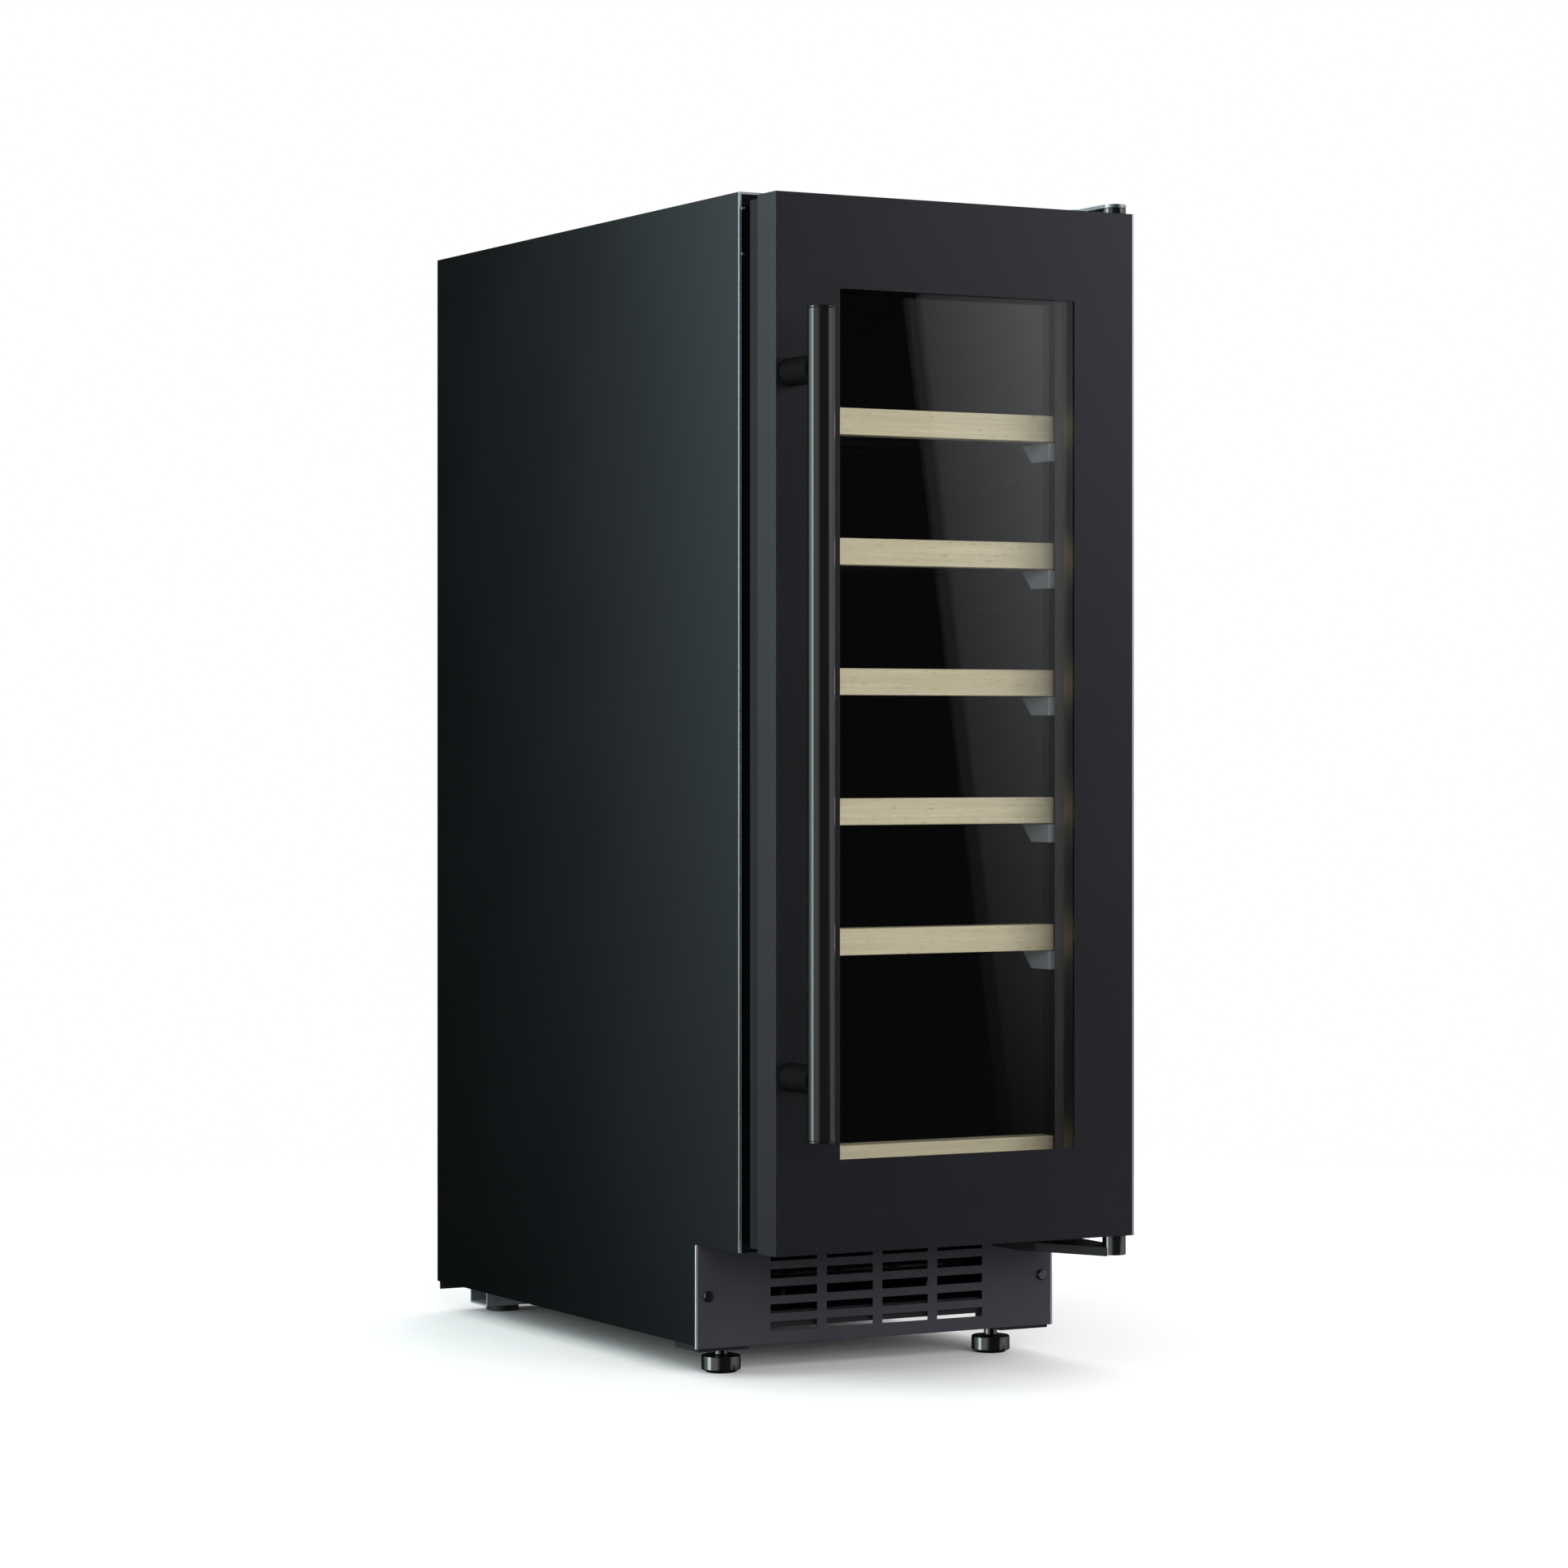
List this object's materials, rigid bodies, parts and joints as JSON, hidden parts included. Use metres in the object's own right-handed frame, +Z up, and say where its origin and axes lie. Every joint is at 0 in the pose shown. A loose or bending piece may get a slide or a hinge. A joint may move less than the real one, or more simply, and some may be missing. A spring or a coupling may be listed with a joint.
{
  "type": "wine cooler",
  "caption": "Slim built-under wine cooler with a framed glass door, a bar handle, wooden shelves and a slotted kick plate",
  "frame": {"origin": "On the floor, under the middle of the whole object's box", "axes": "+Z up, +X to the right as seen from the front, +Y towards the back; the door faces -Y"},
  "size_m": [0.3, 0.6225, 0.8471],
  "materials": {
    "casing_paint": "satin",
    "door_paint": "satin",
    "handle_gloss": "gloss",
    "window_glass": "gloss",
    "spacer_bar": "satin",
    "beech": "satin",
    "liner_plastic": "satin",
    "black_plastic": "satin",
    "white_plastic": "satin",
    "diffuser": "satin",
    "gasket_rubber": "matte",
    "galvanised_steel": "satin",
    "zinc_screw": "satin",
    "black_steel": "gloss",
    "kick_paint": "satin",
    "panel_paint": "satin",
    "copper": "satin",
    "fin_aluminium": "satin",
    "rail_plastic": "satin",
    "foam": "matte",
    "touch_panel": "gloss"
  },
  "bodies": {
    "cabinet": {"outer_casing": "casing_paint", "rear_panel": "panel_paint", "rear_grille": "panel_paint", "panel_screws": "black_steel", "inner_liner": "liner_plastic", "shelf_runners": "rail_plastic", "insulation_foam": "foam", "bay_plate": "galvanised_steel", "base_pan": "panel_paint", "rear_rail": "galvanised_steel", "rear_feet": "gasket_rubber", "foot_brackets": "black_plastic", "kick_plate": "kick_paint", "top_hinge_plate": "galvanised_steel", "bottom_hinge_plate": "galvanised_steel", "hinge_pins": "black_steel", "hinge_screws": "zinc_screw", "compressor": "black_steel", "compressor_mounts": "gasket_rubber", "relay_box": "black_plastic", "condenser": "black_steel", "condenser_fan_frame": "black_plastic", "drip_tray": "black_plastic", "filter_drier": "copper", "refrigerant_pipes": "copper", "evaporator": "fin_aluminium", "evaporator_cover": "liner_plastic", "evaporator_fan_frame": "black_plastic", "control_housing": "black_plastic", "control_panel": "touch_panel", "light_diffuser": "diffuser", "power_inlet": "black_plastic"},
    "door": {"door_front_frame": "door_paint", "door_foam": "foam", "outer_pane": "window_glass", "glass_spacer": "spacer_bar", "inner_pane": "window_glass", "door_inner_frame": "black_plastic", "door_gasket": "gasket_rubber", "door_bushes": "white_plastic", "handle_bar": "handle_gloss", "handle_posts": "handle_gloss", "handle_end_caps": "handle_gloss", "handle_screws": "zinc_screw"},
    "shelf_1": {"shelf_1_front": "beech", "shelf_1_rack": "black_steel"},
    "shelf_2": {"shelf_2_front": "beech", "shelf_2_rack": "black_steel"},
    "shelf_3": {"shelf_3_front": "beech", "shelf_3_rack": "black_steel"},
    "shelf_4": {"shelf_4_front": "beech", "shelf_4_rack": "black_steel"},
    "shelf_5": {"shelf_5_front": "beech", "shelf_5_rack": "black_steel"},
    "shelf_6": {"shelf_6_front": "beech", "shelf_6_rack": "black_steel"},
    "evaporator_fan": {"evaporator_fan_rotor": "black_plastic"},
    "condenser_fan": {"condenser_fan_rotor": "black_plastic"},
    "left_foot": {"left_foot": "black_steel"},
    "right_foot": {"right_foot": "black_steel"}
  },
  "joints": [
    {"name": "door_hinge", "type": "hinge", "parent": "cabinet", "child": "door", "pos_m": [0.139, -0.24525, 0.099], "axis": [0, 0, 1], "range_deg": [0, 110]},
    {"name": "shelf_1_slide", "type": "slide", "parent": "cabinet", "child": "shelf_1", "axis": [0, -1, 0], "range_m": [0, 0.012]},
    {"name": "shelf_2_slide", "type": "slide", "parent": "cabinet", "child": "shelf_2", "axis": [0, -1, 0], "range_m": [0, 0.012]},
    {"name": "shelf_3_slide", "type": "slide", "parent": "cabinet", "child": "shelf_3", "axis": [0, -1, 0], "range_m": [0, 0.012]},
    {"name": "shelf_4_slide", "type": "slide", "parent": "cabinet", "child": "shelf_4", "axis": [0, -1, 0], "range_m": [0, 0.012]},
    {"name": "shelf_5_slide", "type": "slide", "parent": "cabinet", "child": "shelf_5", "axis": [0, -1, 0], "range_m": [0, 0.012]},
    {"name": "shelf_6_slide", "type": "slide", "parent": "cabinet", "child": "shelf_6", "axis": [0, -1, 0], "range_m": [0, 0.012]},
    {"name": "evaporator_fan_spin", "type": "hinge", "parent": "cabinet", "child": "evaporator_fan", "pos_m": [0, 0.23125, 0.7], "axis": [0, 1, 0], "continuous": true},
    {"name": "condenser_fan_spin", "type": "hinge", "parent": "cabinet", "child": "condenser_fan", "pos_m": [0.072, 0.18825, 0.132], "axis": [0, 1, 0], "continuous": true},
    {"name": "left_foot_height", "type": "slide", "parent": "cabinet", "child": "left_foot", "axis": [0, 0, 1], "range_m": [-0.025, 0]},
    {"name": "right_foot_height", "type": "slide", "parent": "cabinet", "child": "right_foot", "axis": [0, 0, 1], "range_m": [-0.025, 0]}
  ]
}
